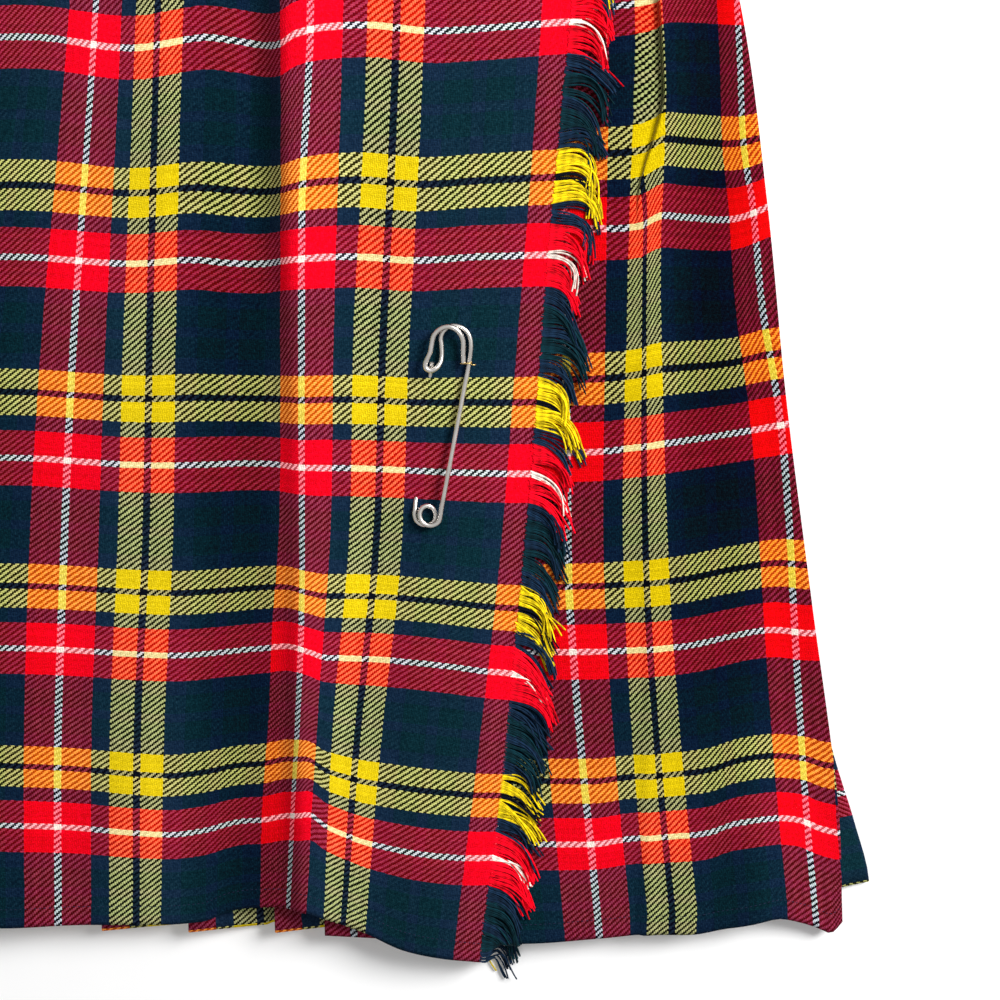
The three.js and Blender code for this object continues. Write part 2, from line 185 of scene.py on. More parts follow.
tartan = {
    "order": "Y13 K4 Y13 N10 G13 N6 G13 N10 R16 W4 R16 N10",  # threads, the same for warp and weft
    "repeat": 128,
    "warpThread": 117 / 128,       # mm
    "weftThread": 97.5 / 128,
    "yellowPair": 15,              # the thread at its middle
    "whiteLine": 100,
    "dyes": {"Y": (232, 202, 24), "K": (14, 18, 30), "N": (25, 44, 65), "G": (15, 46, 54),
             "R": (242, 6, 36), "W": (254, 238, 226)},
    "contrast": 1.62,              # how far a line in the twill stands out from its ground
    "waver": 1.1,                  # how far the yarns stray from straight, in threads
    "bump": 0.4,
}


def settStops():
    stops, at = [], 0
    for stripe in tartan["order"].split():
        stops.append((at / tartan["repeat"], tuple(c / 255 for c in tartan["dyes"][stripe[0]])))
        at += int(stripe[1:])
    return stops


def dyeOf(tree, thread, seed):  # colour of one thread, with a little of its own shade
    place = ((thread + 0.5) / tartan["repeat"]).part()
    dye = tree.add("ShaderNodeValToRGB", {0: place}, stops=settStops())
    shade = tree.add("ShaderNodeTexWhiteNoise", {"W": thread + seed}, noise_dimensions="1D")
    return dye.scaled(shade * 0.12 + 0.94)


def light(colour):  # how bright a screen colour looks
    return colour.vectors("DOT_PRODUCT", colour, (0.299, 0.587, 0.114), out=1)


def woolTwill():
    material, tree = newFinish("wool twill tartan", Roughness=0.92, Specular_IOR_Level=0.06)
    place = tree.place()
    stray = tree.noise(place, 430, 2, out=1)
    stray = stray.vectors("SUBTRACT", stray, (0.5, 0.5, 0.5)).scaled(tartan["waver"])
    cloth = tree.add("ShaderNodeUVMap", uv_map="cloth")
    warp = tree.add("ShaderNodeSeparateXYZ", {0: cloth.vectors("ADD", cloth, stray)})
    weft = warp.other(1)
    warpThread, weftThread = warp.whole(), weft.whole()
    warpRun = (weft - warpThread + 1) % 4          # under 2 where the warp floats on top
    weftRun = (warp - weftThread - 2) % 4
    warpOnTop = warpRun < 2

    warpDye, weftDye = dyeOf(tree, warpThread, 0.31), dyeOf(tree, weftThread, 7.77)
    warpLight, weftLight = light(warpDye), light(weftDye)
    bothBright = (warpLight.lower(weftLight) - 0.2).higher(0)
    own = tree.mixed(warpOnTop, weftDye, warpDye)
    weftShare = (bothBright * 0.9 + 0.55 + (warpLight - weftLight) * 0.12).lower(0.68)
    ground = tree.mixed(weftShare, warpDye, weftDye)
    gain = (tartan["contrast"] - warpLight.higher(weftLight) * 0.76 - bothBright * 2.4).higher(0.4)
    fluff = tree.noise(place, 900, 4)
    wear = tree.noise(place, 22, 2)
    step = (light(own) - (warpLight + weftLight) / 2) * gain + (fluff - 0.5) * 0.16
    lifted = ground.vectors("ADD", ground, tree.three(step, step, step))

    warpRise = warp.part().arch() * ((warpRun / 2).arch() * 0.45 + 0.55)
    weftRise = weft.part().arch() * ((weftRun / 2).arch() * 0.45 + 0.55)
    rise = tree.add("ShaderNodeMix", {0: warpOnTop, 2: weftRise, 3: warpRise}, data_type="FLOAT")
    # the yarns' rise also lightens their crowns and darkens the gaps between them in the colour: painted
    # shade
    toned = lifted.scaled(rise * 0.16 + 0.87 + (fluff - 0.5) * 0.14 + (wear - 0.5) * 0.10)
    paintedShade = tree.add("ShaderNodeAttribute", out="Fac", attribute_name="paintedShade")  # painted shade, subtracted from the colour: darker in the trough, beside the fringe and on the under apron
    shadePainted = toned.vectors("SUBTRACT", toned, tree.three(paintedShade, paintedShade, paintedShade))
    clean = shadePainted.vectors("MAXIMUM", shadePainted, (0.012, 0.012, 0.012))
    tree.finish(Base_Color=tree.add("ShaderNodeGamma", {0: clean, 1: 2.2}),
                Normal=tree.bump(tartan["bump"], 0.0004, rise + (fluff - 0.5) * 0.5))
    return material


def looseYarn():
    material, tree = newFinish("loose wool yarn", Roughness=0.85, Specular_IOR_Level=0.1)
    number = tree.add("ShaderNodeAttribute", out="Vector", attribute_name="threads")
    number = tree.add("ShaderNodeSeparateXYZ", {0: number})
    dye = dyeOf(tree, number.other(1).whole(), 7.77)
    single = tree.add("ShaderNodeTexWhiteNoise", {"W": number}, noise_dimensions="1D")
    # light and dark bands along each yarn: painted shade of its twisted plies
    plyShade = number.maths("SINE", number.other(2) * 150) * 0.08
    fluff = tree.noise(tree.place(), 1300)
    toned = dye.scaled(single * 0.44 + 0.72 + plyShade + (fluff - 0.5) * 0.3)
    tree.finish(Base_Color=tree.add("ShaderNodeGamma", {0: toned, 1: 2.2}))
    return material


woolFinish, yarnFinish = woolTwill(), looseYarn()
print("wool finishes made")


kilt = {"bodyTop": 280, "bandHeight": 30, "bandThickness": 3, "layer": 1.0, "air": 0.4,
        "pressed": 4.3, "underLift": 1.0, "overLift": 3.3, "underLeft": 25, "sideRoll": 9, "sideLevel": 4.9,
        "shell": 0.8, "hemTurn": 11, "bandStart": (193, -46)}      # mm, bandStart is its place in the cloth
top = kilt["bodyTop"]

frontSides = [(310, 168), (280, 171), (225, 197), (150, 222), (62, 238), (-30, 251), (-130, 268),
              (-240, 287), (-310, 293)]                                     # y, half width of the front
pleatPast = [(280, 0), (200, 0), (120, .5), (30, .5), (-60, .5), (-160, .5), (-205, 1), (-250, 8.5),
             (-280, 14.5), (-320, 16)]
pleatPuff = [(280, 0), (200, .3), (120, 1), (30, 2), (-60, 3.2), (-160, 5), (-205, 6), (-250, 7),
             (-280, 7.7), (-320, 8.5)]
apronEdge = [(280, 160), (123, 146), (40, 138.5), (-60, 131.5), (-140, 124.5), (-235, 115.5), (-325, 105)]
overHem = [(-293, -287), (-200, -297), (-78, -300), (-38, -300), (-22, -294), (16, -290), (26, -294),
           (44, -303), (66, -314), (104, -322)]                            # x, y
underHem = [(20, -308), (121, -313), (166, -310), (195, -307), (216, -307), (233, -303), (255, -298),
            (268, -302), (279, -307), (287, -311), (293, -305)]

# folds: x at waist, hip, mid length and hem; reach to the left and right; height at waist, hip, mid, low, hem
overFolds = [
    ((4, 0, -8, -18), (30, 12), (0, -3.2, -2.8, -2.2, -3)),
    ((26, 21, 21, 16), (8, 20), (0, 8, 5, 7, 7.5)),
    ((90, 86, 80, 76), (34, 34), (0, .8, 2.2, 1.2, 2)),
    ((-88, -112, -128, -140), (30, 34), (0, 2.5, 4, 5, 6)),
    ((-112, -150, -172, -188), (24, 20), (0, -1.5, -2, -2, -2.5)),
    ((-138, -188, -214, -236), (22, 24), (0, 1, 2.5, 3, 4)),
]
underFolds = [
    ((164, 187, 187, 190), (2.5, 26), (0, 0, 0, 1.2, 2)),
    ((180, 224, 232, 248), (16, 16), (0, 1.6, 2.5, 3.5, 4.5)),
]

# the tuck in the under apron: where its folded edge lies, how high it stands and how much cloth it takes up
tuck = {
    "share": 0.76, "flank": 1.2, "reach": 24,
    "edge": [(280, 157), (225, 175), (180, 183), (141, 187.4), (121, 189), (107, 189.6), (98, 187.8),
             (87, 184.8), (76, 181.4), (63, 179), (30, 180), (-60, 184), (-320, 197)],
    "lift": [(280, 0), (225, 1.6), (180, 3), (141, 3.4), (107, 3.4), (87, 2.7), (70, 1.6), (55, .5), (42, 0),
             (-320, 0)],
    "lost": [(280, 9), (225, 9.4), (121, 9.4), (107, 9.4), (98, 8), (87, 5.5), (76, 3.2), (63, 1.4), (48, 0),
             (-320, 0)],
}


def bent(t, start, leaving, end, arriving):  # from start to end, with a slope at each
    return (start * (2 * t ** 3 - 3 * t ** 2 + 1) + leaving * (t ** 3 - 2 * t ** 2 + t)
            + end * (3 * t ** 2 - 2 * t ** 3) + arriving * (t ** 3 - t ** 2))


def along(rows, at):  # smooth curve through a table's rows
    table = np.array(sorted(rows), float)
    keys, values = table.T
    wide = np.pad(table, ((1, 1), (0, 0)), mode="edge")
    slopes = (wide[2:, 1] - wide[:-2, 1]) / (wide[2:, 0] - wide[:-2, 0])
    at = np.clip(at, keys[0], keys[-1])
    i = np.clip(np.searchsorted(keys, at, side="right") - 1, 0, len(keys) - 2)
    span = keys[i + 1] - keys[i]
    return bent((at - keys[i]) / span, values[i], slopes[i] * span, values[i + 1], slopes[i + 1] * span)


def ease(start, end, at):
    t = np.clip((at - start) / (end - start), 0, 1)
    return t * t * (3 - 2 * t)


def runAlong(line):  # length so far at each point
    return np.concatenate(([0], np.cumsum(np.linalg.norm(np.diff(line, axis=0), axis=1))))


def smoothLine(points, steps):  # centripetal curve through the points
    ends = np.concatenate(([2 * points[0] - points[1]], points, [2 * points[-1] - points[-2]]))
    line = []
    for i in range(1, len(ends) - 2):
        p = ends[i - 1:i + 3]
        gap = np.linalg.norm(np.diff(p, axis=0), axis=1) ** 0.5
        first, second = (((p[k + 1] - p[k]) / gap[k] - (p[k + 2] - p[k]) / (gap[k] + gap[k + 1])
                          + (p[k + 2] - p[k + 1]) / gap[k + 1]) * gap[1] for k in (0, 1))
        line += [bent(t, p[1], first, p[2], second) for t in np.linspace(0, 1, steps, endpoint=False)]
    return np.array(line + [points[-1]])


def frontHalf(y):
    return along(frontSides, y)


def backHalf(y):
    return frontHalf(y) + along(pleatPast, y)


def edgeAt(y):
    return along(apronEdge, y)


def puffAt(x, y):
    return along(pleatPuff, y) * ease(12, 64, backHalf(y) - np.abs(x))


def foldHeight(folds, x, y):
    height, ys = 0, (top, 120, -60, -190, -320)
    for places, reaches, lifts in folds:
        xs = (*places[:3], (places[2] + places[3]) / 2, places[3])
        away = x - along(list(zip(ys, xs)), y)
        reach = np.where(away < 0, reaches[0], reaches[1])
        height = height + along(list(zip(ys, lifts)), y) * np.exp(-(away / reach) ** 2)
    return height


def tuckHeight(x, y):  # steep on its left, then flattening to the right
    away = x - along(tuck["edge"], y)
    rise = ease(-tuck["flank"], 0, away) * np.exp(-(np.maximum(away, 0) / tuck["reach"]) ** 2)
    return np.maximum(0, along(tuck["lift"], y)) * rise


def turnedDown(height, x, y):
    inside = np.clip((frontHalf(y) - np.abs(x)) / kilt["sideRoll"], 0, 1)
    return kilt["sideLevel"] + (height - kilt["sideLevel"]) * np.sqrt(1 - (1 - inside) ** 2)


def pleatTop(x, y):
    return kilt["pressed"] + puffAt(x, y)


def underHeight(x, y):
    folds = np.maximum(0, foldHeight(underFolds, x, y)) + tuckHeight(x, y)
    return turnedDown(pleatTop(x, y) + kilt["underLift"] + folds, x, y)


def overHeight(x, y):
    settle = 1.7 * ease(edgeAt(y) - 22, edgeAt(y), x)
    z = pleatTop(x, y) + kilt["underLift"] + kilt["overLift"] + foldHeight(overFolds, x, y) - settle
    return np.where(x < 0, turnedDown(z, x, y), z)


# soft creases laid on one by one: from x, y to x, y, then width and lift
overCreases = [
    (-34, 262, -40, 96, 11, 0.45), (-70, 205, -92, 20, 15, 0.5), (58, 236, 52, 66, 9, -0.5),
    (112, 214, 104, 40, 10, 0.6), (48, -96, 41, -270, 8, 0.6), (92, -150, 84, -300, 12, -0.5),
    (-30, -118, -41, -296, 9, -0.7), (-64, -170, -82, -298, 14, 0.8), (112, -90, 99, -290, 8, 0.5),
    (-146, 60, -168, -150, 13, 0.6), (-206, -40, -232, -240, 12, -0.5), (6, 60, 2, -120, 6, -0.6),
    (4, 280, 0, 60, 8, -0.9), (-52, 150, -60, -60, 9, -0.5),
]
underCreases = [
    (172, 190, 176, 40, 7, 0.4), (214, 96, 222, -60, 10, 0.6), (206, -110, 214, -290, 11, 0.7),
    (172, -60, 178, -230, 9, -0.5), (238, 10, 254, -170, 8, -0.5), (262, -190, 274, -300, 8, 0.6),
    (200, 250, 212, 90, 6, -0.6), (184, 20, 188, -120, 6, 0.5),
]


def creased(rows, x, y):
    height = 0.10 * np.sin(x / 17 + y / 41) + 0.08 * np.sin(x / 9.3 - y / 33 + 1.7)
    for fromX, fromY, toX, toY, width, lift in rows:
        share = np.clip((y - fromY) / (toY - fromY), -0.4, 1.4)
        away = x - (fromX + (toX - fromX) * share) - 2.2 * np.sin(share * 4 + fromX)
        fade = ease(-0.35, 0.15, share) * (1 - ease(0.85, 1.35, share))
        height = height + lift * fade * np.exp(-(away / width) ** 2)
    return height


# Where the stripes lie. Each row is a place in the cloth, in mm from the first yellow pair or the first
# white line, and the path it follows: y, x for a warp line and x, y for a weft line.

evenHeights = (280, 111, 8, -89, -184, -288)
overWarp = sorted([
    (-234, [(280, -150), (130, -196), (-60, -278), (-290, -300)]),
    (-117, [(280, -92), (130, -123), (-60, -166), (-200, -181), (-290, -187)]),
    (61.1, [(280, 19), (111, 17.3), (8, 13.1), (-89, 9), (-145, 3.3), (-184, 0.6), (-235, -4.7),
        (-288, -7.5)]),
    (77.6, [(280, 33), (138.8, 30.8), (83.6, 26.3), (61.5, 24.8), (-17.7, 22.2), (-60.2, 21),
        (-131.8, 19.4), (-182.1, 16.4), (-238.9, 11.7), (-284.4, 8)]),
    (178.2, [(280, 141), (111, 131), (8, 122.7), (-89, 114.7), (-184, 103.6), (-288, 90.7), (-320, 88)]),
] + [(place, list(zip(evenHeights, path))) for place, *path in (
    (0, -27, -40.6, -48.7, -55.5, -64.5, -70.6),
    (13.7, -15, -29.3, -36.7, -42.6, -51.5, -58.4),
    (94.1, 52, 43.1, 37.6, 33.6, 25, 17),
    (103.3, 61.5, 54.1, 46.7, 42.5, 32.6, 25.7),
    (117, 75, 67.2, 60.5, 55.4, 44.6, 35),
    (130.7, 88, 79.4, 72.5, 67.3, 56, 46),
)])
overWeft = [
    (149, [(-300, 280), (200, 280)]),
    (0, [(-240, 134), (-160, 131), (-95, 134), (-50.8, 129.3), (-24, 133.2), (-17.4, 134), (-4.1, 132.7),
        (9.6, 130.5), (17.3, 130.7), (24.3, 134.9), (37.3, 138), (57, 139.1), (83.7, 136.6),
        (110.5, 137.9), (144.1, 140.6)]),
    (-97.5, [(-250, 40), (-170, 34), (-110, 37), (-56.1, 33.5), (-28.6, 35.2), (-8.1, 33.4), (6.1, 33.5),
        (21.2, 36.1), (48.2, 36.9), (75.8, 35.2), (103.5, 36.8), (131.2, 37.5)]),
    (-195, [(-265, -52), (-190, -62), (-125, -57), (-61.3, -61.3), (-33, -61.7), (2.9, -61.1), (32.1, -62),
        (74.6, -63.7), (124.6, -65.9)]),
    (-292.5, [(-280, -142), (-205, -156), (-135, -151), (-66.3, -155.7), (-37.2, -156.8), (-15.2, -154.9),
        (-0.2, -153.1), (15.3, -150.7), (22.7, -152.8), (29.8, -155.8), (73.4, -159.8),
        (122.4, -166.5)]),
    (-390, [(-292, -237), (-215, -248), (-145, -243), (-71.3, -249.5), (-48.9, -251.5), (-33.9, -249.8),
        (-18.7, -245.5), (-3.2, -243.4), (12.8, -238.5), (20.6, -236.9), (27.7, -243.5), (34.9, -248.2),
        (49.6, -255.2), (79.7, -261.8), (109.9, -264.1)]),
    (-441, overHem),
]
underWarp = [
    (-117, [(280, 20), (-310, 40)]),
    (0, [(280, 134), (130, 143), (-113, 148.1), (-155, 150.9), (-222, 157.1), (-258, 161.1),
        (-310, 166.4)]),
    (25.7, [(280, 149), (225, 166), (180, 172.6), (141, 175.4), (111, 175.6), (63, 174.9), (8, 174.7),
        (-44, 174.2), (-91, 174.4), (-129, 176), (-178, 179.2), (-234, 184), (-295, 190.3)]),
    (53.1, [(280, 165), (225, 177), (180, 184), (141, 187.9), (121, 189.5), (107, 190.1), (89, 190.2),
        (29, 189.5), (-44, 192.8), (-91, 195.5), (-128, 197.9), (-175, 202), (-234, 208.4),
        (-294, 215.6)]),
    (117, [(280, 203), (200, 215), (131, 221.9), (88, 225.3), (56, 231.1), (10, 237.4), (-43, 248),
        (-97, 255), (-147, 259.8), (-249, 270.6), (-306, 278.2)]),
]
underWeft = [
    (149, [(20, 280), (200, 280)]),
    (0, [(20, 146), (160, 147), (184, 150), (190, 153), (225, 152)]),
    (-97.5, [(20, 48), (161.7, 49.3), (179.7, 50.6), (189, 55.3), (200.1, 54.5), (222.5, 53.7),
        (239.3, 59.4)]),
    (-195, [(20, -58), (157.5, -55.9), (180.4, -53.6), (209, -49.5), (226, -46.7), (253.6, -42.7)]),
    (-292.5, [(20, -157), (164.7, -155.8), (188.2, -154.5), (211.8, -151.5), (235.2, -146.2),
        (247.4, -145.4), (265.7, -147.8)]),
    (-390, [(20, -256), (161.1, -257.9), (178.3, -255.4), (196.3, -253.5), (220.6, -250.9), (232.3, -245.7),
        (244.2, -243.5), (257, -244.4), (270.1, -247.9), (276.6, -251.8), (290, -256)]),
    (-443, underHem),
]


def weftPlace(lines, x, y):  # how far down the cloth a point is
    values, last = np.array([line[0] for line in lines], float), len(lines) - 1
    heights = np.stack([along(line[1], x) for line in lines])
    i = np.clip((y[None] < heights).sum(0) - 1, 0, last - 1)
    near = lambda k: np.clip(k, 0, last)
    take = lambda k: np.take_along_axis(heights, near(k)[None], 0)[0]
    slope = lambda k: (values[near(k + 1)] - values[near(k - 1)]) / (take(k + 1) - take(k - 1))
    span = take(i + 1) - take(i)
    return bent((y - take(i)) / span, values[i], slope(i) * span, values[i + 1], slope(i + 1) * span)


def warpPlace(lines, points, gathers):  # how far across the cloth, from the length along each row
    x, y, z = points[..., 0], points[..., 1], points[..., 2]
    across = np.empty(x.shape)
    for j in range(x.shape[0]):
        middle, down = (x[j, 1:] + x[j, :-1]) / 2, y[j, 0]
        length = np.hypot(np.diff(x[j]), np.diff(z[j]))
        for path, width, extra in gathers:
            length = length * (1 + along(extra, down) * np.exp(-((middle - along(path, down)) / width) ** 2))
        run = np.concatenate(([0], np.cumsum(length)))
        paths = [along(line[1], down) for line in lines]
        at = [np.interp(path, x[j], run) + path - np.clip(path, x[j, 0], x[j, -1]) for path in paths]
        place = np.interp(run, at, [line[0] for line in lines])
        ends = (at[0], lines[0][0], run < at[0]), (at[-1], lines[-1][0], run > at[-1])
        for start, value, beyond in ends:
            place = np.where(beyond, value + run - start, place)
        across[j] = place
    return across


def weftThread(down):
    return down / tartan["weftThread"] + tartan["whiteLine"]


def clothThreads(across, down):
    return np.stack((across / tartan["warpThread"] + tartan["yellowPair"], weftThread(down)), -1)


def newPiece(name, mesh, node=None, finish=None):
    piece = linked(name, mesh)
    if finish:
        mesh.materials.append(finish)
    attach(piece, "root")
    if node:
        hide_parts(node)
    return piece


def giveValues(mesh, name, kind, field, values):
    made = mesh.attributes.new(name, kind, "POINT")
    made.data.foreach_set(field, values.astype(np.float32).ravel())


def gridMesh(name, points, threads, paintedShade=None):  # rows from waist to hem, columns from left to right
    high, wide = points.shape[:2]
    number = np.arange(high * wide).reshape(high, wide)
    left, right = number[:, :-1], number[:, 1:]
    faces = np.stack((left[:-1], left[1:], right[1:], right[:-1]), -1).reshape(-1, 4)
    mesh = bpy.data.meshes.new(name)
    mesh.from_pydata((points * mm).reshape(-1, 3).tolist(), [], faces.tolist())
    mesh.uv_layers.new(name="cloth").data.foreach_set("uv", threads.reshape(-1, 2)[faces.ravel()].ravel())
    mesh.shade_smooth()
    # painted shade is kept on the points for the tartan to subtract
    if paintedShade is not None:
        giveValues(mesh, "paintedShade", "FLOAT", "value", paintedShade)
    return mesh


def settled(piece):  # its modifiers become a plain mesh
    plain = bpy.data.meshes.new_from_object(piece.evaluated_get(bpy.context.evaluated_depsgraph_get()))
    piece.modifiers.clear()
    piece.data = plain
    return piece


def thicken(piece):  # one layer of cloth
    wall = piece.modifiers.new("wall", "SOLIDIFY")
    wall.thickness, wall.offset, wall.use_even_offset = kilt["shell"] * mm, 0, True
    return settled(piece)


def paintedShadeOf(rows, points):  # how dark the painted shade is, by x and then by y
    return along(rows[0], points[..., 0]) * along(rows[1], points[..., 1])


def apronPoints(shares, rowCount, acrossAt, hem, heightAt, creases):
    share, t = np.meshgrid(shares, np.linspace(0, 1, rowCount))
    y = top + (along(hem, 0.0) - top) * t
    for again in range(4):
        x = acrossAt(share, y)
        y = top + (along(hem, x) - top) * t
    fade = ease(top, top - 18, y) * ease(0, 10, frontHalf(y) - np.abs(x))
    fromHem, turn = (1 - t) * (top - along(hem, x)), kilt["hemTurn"]      # the hem is turned up once
    z = heightAt(x, y) + creased(creases, x, y) * fade + 0.3 * ease(turn + 0.8, turn - 0.8, fromHem)
    return np.stack((x, y, z), -1)


overSheet = {
    "columns": 150, "rows": 226,
    # painted shade by x and then by y, darkest in the trough left of the ridge
    "paintedShade": ([(-300, .02), (-200, 0), (-120, .03), (-60, 0), (-39, .02), (-20, .05), (2, .052), (12, .01),
             (20, 0), (45, .008), (75, .012), (96, .006), (140, .008)],
            [(280, .4), (130, .5), (60, .8), (0, 1.1), (-320, 1)]),
    "gathers": [([(280, 12), (120, 12), (-60, 14), (-200, 30), (-320, 32)], 6,    # path, width, extra length
                 [(280, .2), (120, .5), (-60, .2), (-200, .1), (-320, .1)])],
}


def makeOverApron():
    roll = np.linspace(0, 1, 8)[:-1] ** 2 * 0.03
    shares = np.concatenate((roll, np.linspace(0.03, 1, overSheet["columns"])))
    acrossAt = lambda share, y: -frontHalf(y) + (edgeAt(y) + frontHalf(y)) * share
    points = apronPoints(shares, overSheet["rows"], acrossAt, overHem, overHeight, overCreases)
    across = warpPlace(overWarp, points, overSheet["gathers"])
    down = weftPlace(overWeft, points[..., 0], points[..., 1])
    paintedShade = paintedShadeOf(overSheet["paintedShade"], points)
    mesh = gridMesh("overApron", points, clothThreads(across, down), paintedShade)
    return thicken(newPiece("overApron", mesh, "over_apron", woolFinish)), points, down


overApron, overPoints, overDown = makeOverApron()
print("over apron made", len(overApron.data.polygons))

underSheet = {
    "columns": 92, "rows": 222,
    "whiteLine": 77.6,                # mm from the yellow pair
    # painted shade by x and then by y, over the whole under apron and beside the fringe
    "paintedShade": ([(25, .03), (140, .075), (168, .07), (178, .06), (190, .055), (208, .1), (240, .11), (275, .095)],
            [(280, .8), (120, 1), (-60, .9), (-160, .7), (-250, .35), (-320, .3)]),
}


def makeUnderApron():
    k, flank = tuck["share"], np.linspace(-0.0075, 0.003, 9)
    left = np.linspace(0, k - 0.011, int(underSheet["columns"] * k))
    right = np.linspace(k + 0.007, 0.95, int(underSheet["columns"] * (0.95 - k)))
    roll = 1 - np.linspace(1, 0, 9)[1:] ** 2 * 0.05
    shares = np.concatenate((left, k + flank, right, roll))

    def acrossAt(share, y):  # one column stays on the tuck's edge
        start, fold = kilt["underLeft"] + np.where(y < 0, 0, 0.02 * y), along(tuck["edge"], y)
        return np.where(share < k, start + (fold - start) * share / k,
                        fold + (frontHalf(y) - fold) * (share - k) / (1 - k))

    points = apronPoints(shares, underSheet["rows"], acrossAt, underHem, underHeight, underCreases)
    middle = [(y, x - tuck["flank"] / 2) for y, x in tuck["edge"]]
    extra = [(y, lost / tuck["flank"] * 1.4) for y, lost in tuck["lost"]]
    across = warpPlace(underWarp, points, [(middle, tuck["flank"] * 0.4, extra)]) + underSheet["whiteLine"]
    down = weftPlace(underWeft, points[..., 0], points[..., 1])
    mesh = gridMesh("underApron", points, clothThreads(across, down), paintedShadeOf(underSheet["paintedShade"], points))
    return thicken(newPiece("underApron", mesh, "under_apron", woolFinish)), points


underApron, underPoints = makeUnderApron()
print("under apron made", len(underApron.data.polygons))


pleats = {"count": 14, "first": 0.7, "rows": 72, "hemMiddle": -308, "hemSide": -284, "hemHalf": 307,
          "faceCentre": 28,         # place in the repeat at the middle of each pleat's outer face, mm
          "lastShift": -10, "topPlace": 144, "hemPlace": -444.5}


def pleatLine(y):  # x, z and place in the cloth along the section at one height
    side = top + (y - top) * (pleats["hemSide"] - top) / (pleats["hemMiddle"] - top)  # shorter there
    half = float(backHalf(side))
    reveal = 2 * half / (pleats["count"] - 1 + pleats["first"])
    low, step, r = kilt["layer"] / 2, kilt["layer"] + kilt["air"], (kilt["layer"] + kilt["air"]) / 2
    line = [(-half, low)]
    faces = []                       # first and last point that belong to each outer face

    def run(fromX, toX, count, heightAt):
        for t in np.linspace(0, 1, count + 1)[1:]:
            line.append((fromX + (toX - fromX) * t, heightAt(t)))

    def fold(x, z, side):
        for a in np.linspace(-90, 90, 7)[1:]:
            turn = math.radians(a)
            line.append((x + side * r * math.cos(turn), z + r + r * math.sin(turn)))

    for k in range(pleats["count"]):
        outer = -half + (k + pleats["first"]) * reveal
        inner = outer - (reveal * pleats["first"] * 0.7 if k == 0 else reveal - 6)
        puff = float(puffAt(inner, y))
        second, third = low + step, low + 2 * step + puff
        faces.append(len(line))
        run(line[-1][0], outer - r, 9, lambda t: low)
        fold(outer - r, low, 1)
        run(outer - r, inner + r, 8, lambda t: second + puff * t ** 1.5)
        faces[-1] = (faces[-1], len(line) - 1, (line[faces[-1] - 1][0] + outer) / 2)
        fold(inner + r, second + puff, -1)
        if k < pleats["count"] - 1:
            run(inner + r, outer - 0.5, 10, lambda t: second + step + puff * (1 - t) ** 1.15)
            run(outer - 0.5, outer + 3.6, 5,
                lambda t: low + (second + step - low) * (1 - float(ease(0, 1, t))))
        else:
            run(inner + r, float(frontHalf(side)) - kilt["sideRoll"], 9,
                lambda t: third + (second + step - third) * t)
    return np.array(line), faces


def makeBack():
    hemMiddle, drop = pleats["hemMiddle"], pleats["hemSide"] - pleats["hemMiddle"]
    repeat = tartan["repeat"] * tartan["warpThread"]
    rows, places = [], []
    for y in top + (hemMiddle - top) * np.linspace(0, 1, pleats["rows"]):
        line, faces = pleatLine(y)
        share = (top - y) / (top - hemMiddle)
        hem = hemMiddle + drop * np.minimum(1, np.abs(line[:, 0]) / pleats["hemHalf"]) ** 2.5
        run = runAlong(line)
        across = np.zeros(len(line))
        starts = [0] + [last + 4 for first, last, centre in faces[:-1]] + [len(line)]
        for k, (first, last, centre) in enumerate(faces):
            here = slice(starts[k], starts[k + 1])
            middle = np.interp(centre, line[first - 1:first + 8, 0], run[first - 1:first + 8])
            across[here] = run[here] - middle + pleats["faceCentre"] + repeat * k
        across[starts[-2]:] += pleats["lastShift"]
        down = pleats["topPlace"] + (pleats["hemPlace"] - pleats["topPlace"]) * share
        rows.append(np.stack((line[:, 0], top + (hem - top) * share, line[:, 1]), -1))
        places.append(clothThreads(across, np.full(len(line), down)))
    mesh = gridMesh("pleatedBack", np.array(rows), np.array(places))
    return thicken(newPiece("pleatedBack", mesh, "pleated_back", woolFinish))


pleatedBack = makeBack()
print("pleats made", len(pleatedBack.data.polygons))


def geometryTree(name, inputs):  # lines in, a mesh out, with named sizes
    group = bpy.data.node_groups.new(name, "GeometryNodeTree")
    for label, (kind, value) in {"Path": ("Geometry", None), **inputs}.items():
        socket = group.interface.new_socket(label, in_out="INPUT", socket_type="NodeSocket" + kind)
        if value is not None:
            socket.default_value = value
    group.interface.new_socket("Mesh", in_out="OUTPUT", socket_type="NodeSocketGeometry")
    tree = Tree(group)
    start, end = (group.nodes.new("NodeGroup" + side) for side in ("Input", "Output"))
    return tree, {socket.name: Wire(tree, socket) for socket in start.outputs if socket.name}, end.inputs[0]


def finished(tree, shape, given, result):
    real = tree.add("GeometryNodeRealizeInstances", {0: shape})
    smooth = tree.add("GeometryNodeSetShadeSmooth", {0: real})
    tree.join(tree.add("GeometryNodeSetMaterial", {0: smooth, "Material": given["Finish"]}), result)
    return tree.tree


def sweptWire():  # a round wire or yarn along each line, as thick as its own "thick" says
    tree, given, result = geometryTree("swept wire", {
        "Radius": ("Float", 1.0), "Sides": ("Int", 8), "Finish": ("Material", None)})
    curve = tree.add("GeometryNodeMeshToCurve", {0: given["Path"]})
    thick = tree.add("GeometryNodeInputNamedAttribute", {"Name": "thick"}, data_type="FLOAT")
    curve = tree.add("GeometryNodeSetCurveRadius", {0: curve, "Radius": thick})
    sizes = {"Resolution": given["Sides"], "Radius": given["Radius"]}
    ring = tree.add("GeometryNodeCurvePrimitiveCircle", sizes)
    tube = tree.add("GeometryNodeCurveToMesh", {0: curve, 1: ring, "Fill Caps": True})
    return finished(tree, tube, given, result)


